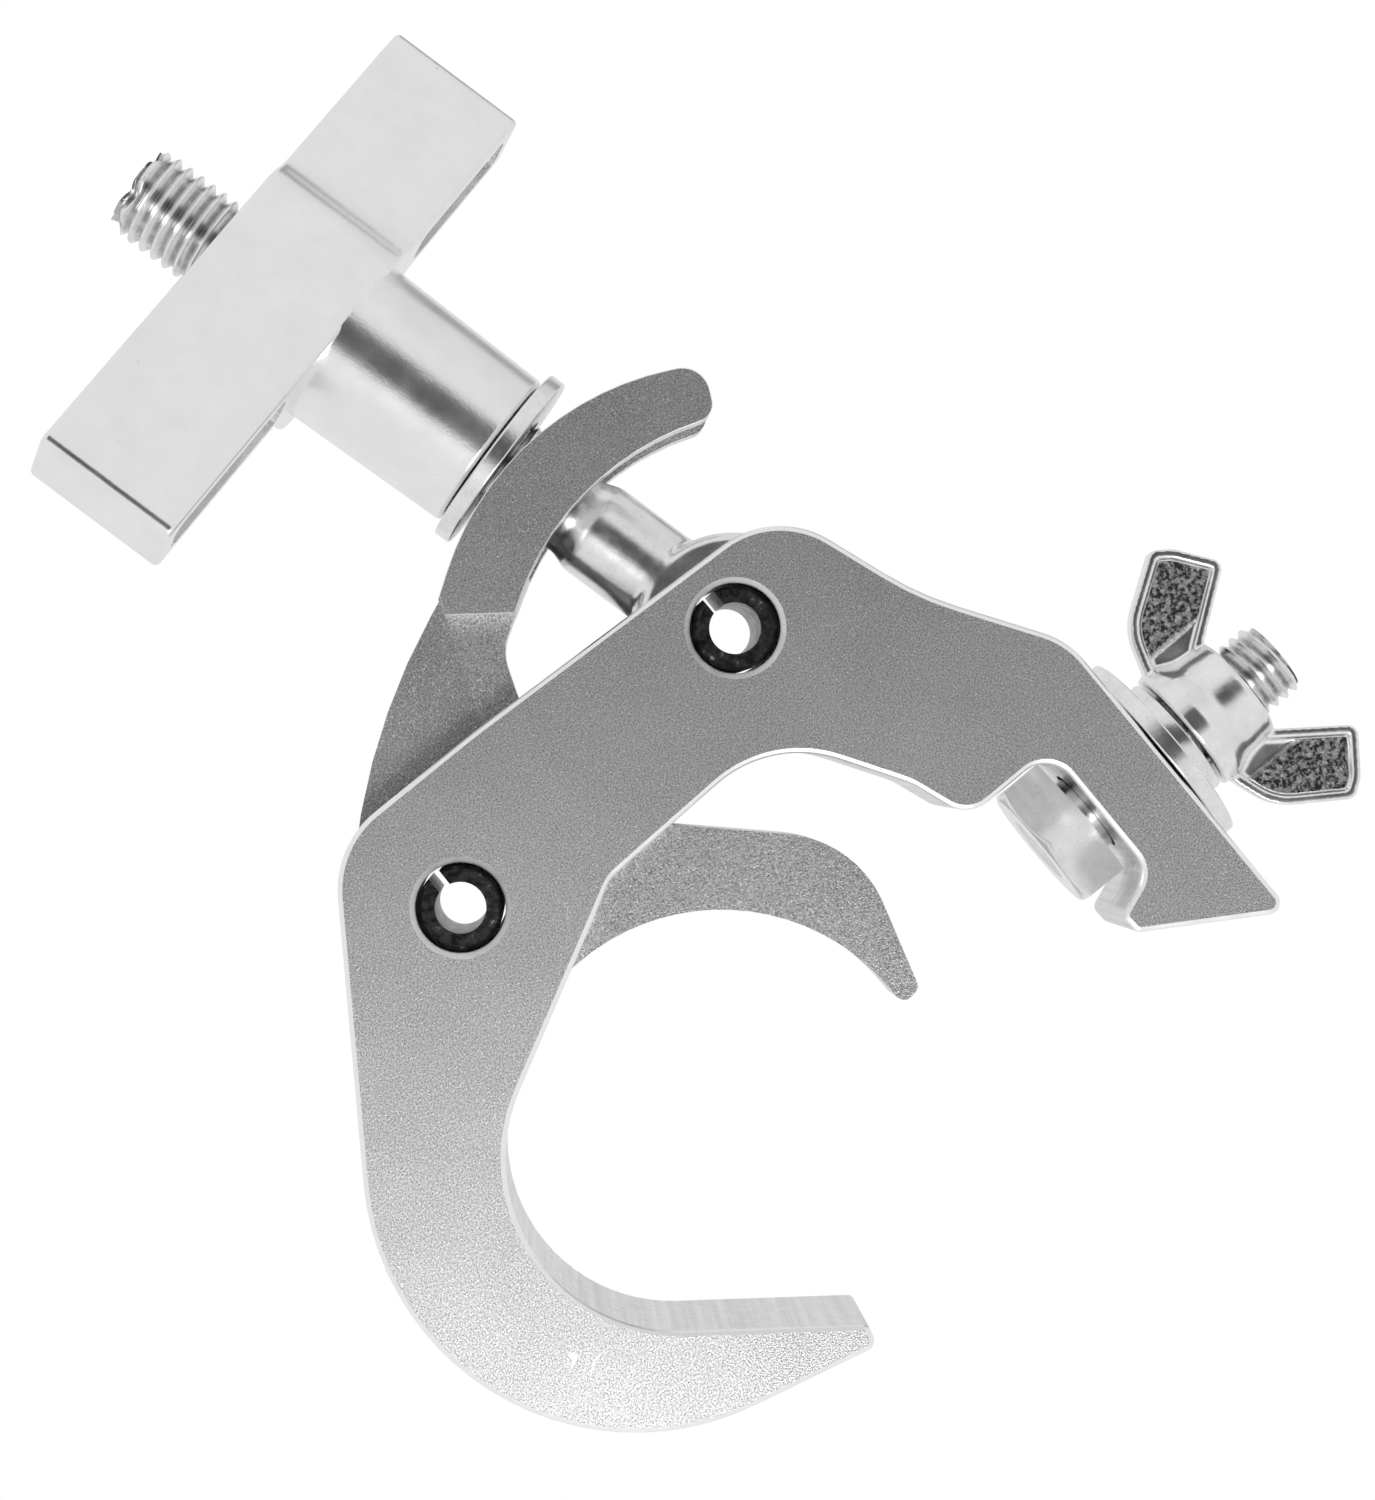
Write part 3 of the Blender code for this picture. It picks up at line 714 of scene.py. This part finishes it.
def make_spring_washer():
    """One turn of a square bar, cut through on a slant, its two ends a little apart."""
    made = bmesh.new()
    inner, outer, low, thick = 6.3, 9.2, 90.9, 2.2
    section = rounded([(inner, thick, 0.3), (outer, thick, 0.3), (outer, 0.0, 0.3), (inner, 0.0, 0.3)], 20.0)
    steps = 120
    gap = math.radians(9)
    rows = []
    for k in range(steps + 1):
        share = k / steps
        row = []
        for p in section:
            lean = (p.y / thick - 0.5) * 0.13
            t = -math.pi / 2 + gap / 2 + lean + (2 * math.pi - gap) * share
            row.append(made.verts.new((p.x * MM * math.cos(t), p.x * MM * math.sin(t), (low + p.y) * MM)))
        rows.append(row)
    count = len(section)
    for a, b in zip(rows, rows[1:]):
        for i in range(count):
            made.faces.new((a[i], a[(i + 1) % count], b[(i + 1) % count], b[i]))
    made.faces.new(rows[0])
    made.faces.new(list(reversed(rows[-1])))
    bmesh.ops.recalc_face_normals(made, faces=made.faces)
    bmesh.ops.transform(made, matrix=DOWN_FRAME, verts=made.verts)
    piece("spring_washer_detail", made, ZINC, "lock_washer", "spring_washer")


make_spring_washer()


def wing_half():
    """One wing's outline on the +X side."""
    return rounded(
        [
            (3.0, -95.2, 0.0),
            (9.6, -94.7, 6.0),
            (16.4, -96.9, 9.0),
            (22.9, -106.6, 1.4),
            (21.0, -109.2, 3.0),
            (15.0, -113.6, 1.5),
            (7.2, -103.0, 1.0),
            (3.0, -102.8, 0.0),
        ],
        6.0,
    )


def wing(side):
    """A wing with a raised rim round a sunk panel on both of its sides."""
    half, sink, rim = 2.0 * MM, 0.75 * MM, 1.15 * MM
    made = prism([Vector((p.x * side, p.y)) for p in wing_half()], half / MM)
    caps = [f for f in made.faces if abs(f.normal.y) > 0.99]
    for cap in caps:
        outward = 1.0 if cap.normal.y > 0 else -1.0
        bmesh.ops.inset_region(made, faces=[cap], thickness=rim, use_boundary=True)
        bmesh.ops.inset_region(made, faces=[cap], thickness=0.4 * MM, use_boundary=True)
        for vert in cap.verts:
            vert.co.y -= outward * sink
    return made


def make_wing_nut():
    hub = turned(
        smooth_profile(
            [(0, 104.3), (7.9, 104.3, 0.8), (8.4, 99.0, 3.0), (9.6, 96.4, 1.5), (9.6, 93.6, 0.5), (0, 93.6)]
        )
    )
    level = Matrix.Identity(4)
    skin = fused(joined((hub, DOWN_FRAME), (wing(1), level), (wing(-1), level)), 0.00028, 4)
    bore = turned([(0, 130.0), (7.0, 130.0), (7.0, 104.2), (6.1, 103.4), (6.1, 80.0), (0, 80.0)], 72)
    bmesh.ops.transform(bore, matrix=DOWN_FRAME, verts=bore.verts)
    skin = cut(skin, bore)
    made = piece("wing_nut_detail", skin, WING, "load_nut", "wing_nut", smooth_angle=60.0, weighted=False)


make_wing_nut()


# Floor, light and camera ------------------------------------------------------------------


FLOOR_TOP, FLOOR_R = -300.0, 208.0


def make_floor():
    """A pale disc well below the clamp, outside the main view."""
    edge = [(FLOOR_R - 3, FLOOR_TOP), (FLOOR_R, FLOOR_TOP - 3), (FLOOR_R, FLOOR_TOP - 6)]
    made = turned([(0, FLOOR_TOP), *edge, (0, FLOOR_TOP - 6)], 128)
    mesh = bpy.data.meshes.new("floor")
    made.to_mesh(mesh)
    made.free()
    floor = bpy.data.objects.new("floor", mesh)
    floor.location = (0.04, 0.0, 0.0)
    bpy.context.scene.collection.objects.link(floor)
    mat, g, shader, coords = new_material("pale_floor")
    tone = g.step(g.noise(coords.outputs["Object"], 12.0, 3.0), 0.3, 0.7, 0.86, 0.9, smooth=False)
    g.put(shader.inputs["Base Color"], grey(g, tone))
    shader.inputs["Roughness"].default_value = 0.7
    mesh.materials.append(mat)


CAMERA_RIGHT = Vector((-0.6361, 0.0, -0.7716))
CAMERA_UP = Vector((0.7716, 0.0, -0.6361))


def make_world():
    """A white studio with a dark patch in front and one behind for the bright metal to reflect."""
    world = bpy.data.worlds.new("studio")
    bpy.context.scene.world = world
    world.use_nodes = True
    g = Graph(world.node_tree)
    coords = g.node("ShaderNodeTexCoord")
    direction = coords.outputs["Generated"]
    light = None
    front = Vector((0, -1, 0))
    level = 0.82
    patches = (
        (front + CAMERA_UP * 0.16, 0.26, 0.50, 0.90),
        (-front * 0.55 + CAMERA_UP * 0.7 + CAMERA_RIGHT * 0.45, 0.25, 0.45, 0.55),
    )
    for centre, core, rim, strength in patches:
        spread = g.node("ShaderNodeVectorMath", {0: direction, 1: centre.normalized()}, operation="DISTANCE")
        shade = g.step(spread.outputs["Value"], core, rim, 1.0 - strength, 1.0)
        light = shade if light is None else g.math("MULTIPLY", light, shade)
    dim = g.node("ShaderNodeBackground", {"Strength": 1.0})
    g.put(dim.inputs["Color"], grey(g, g.math("MULTIPLY", light, level)))
    white = g.node("ShaderNodeBackground", {"Color": (1, 1, 1, 1), "Strength": 1.0})
    seen = g.node("ShaderNodeLightPath")
    mix = g.node("ShaderNodeMixShader")
    g.put(mix.inputs[0], seen.outputs["Is Camera Ray"])
    g.put(mix.inputs[1], dim.outputs[0])
    g.put(mix.inputs[2], white.outputs[0])
    output = g.node("ShaderNodeOutputWorld")
    g.put(output.inputs[0], mix.outputs[0])


def make_light(name, place, target, size, power):
    data = bpy.data.lights.new(name, "AREA")
    data.shape = "DISK"
    data.size = size
    data.energy = power
    lamp = bpy.data.objects.new(name, data)
    bpy.context.scene.collection.objects.link(lamp)
    lamp.location = place
    lamp.rotation_euler = (Vector(target) - Vector(place)).to_track_quat("-Z", "Y").to_euler()


def make_camera():
    data = bpy.data.cameras.new("camera")
    data.lens = 92.1
    data.sensor_width = 36.0
    data.shift_x = 0.0963
    data.shift_y = -0.0067
    data.clip_start, data.clip_end = 0.01, 20.0
    camera = bpy.data.objects.new("camera", data)
    bpy.context.scene.collection.objects.link(camera)
    turn = Matrix((CAMERA_RIGHT, CAMERA_UP, (0, -1, 0))).transposed().to_4x4()
    camera.matrix_world = Matrix.Translation((0.0571, -0.548, -0.0227)) @ turn
    bpy.context.scene.camera = camera


make_floor()
make_world()
low_front = Vector((0.0, -0.62, 0.0)) - CAMERA_UP * 0.30
make_light("low_softbox", low_front, (0.01, 0.0, 0.02), 0.30, 0.95)
make_camera()
bpy.context.scene.view_settings.view_transform = "Standard"
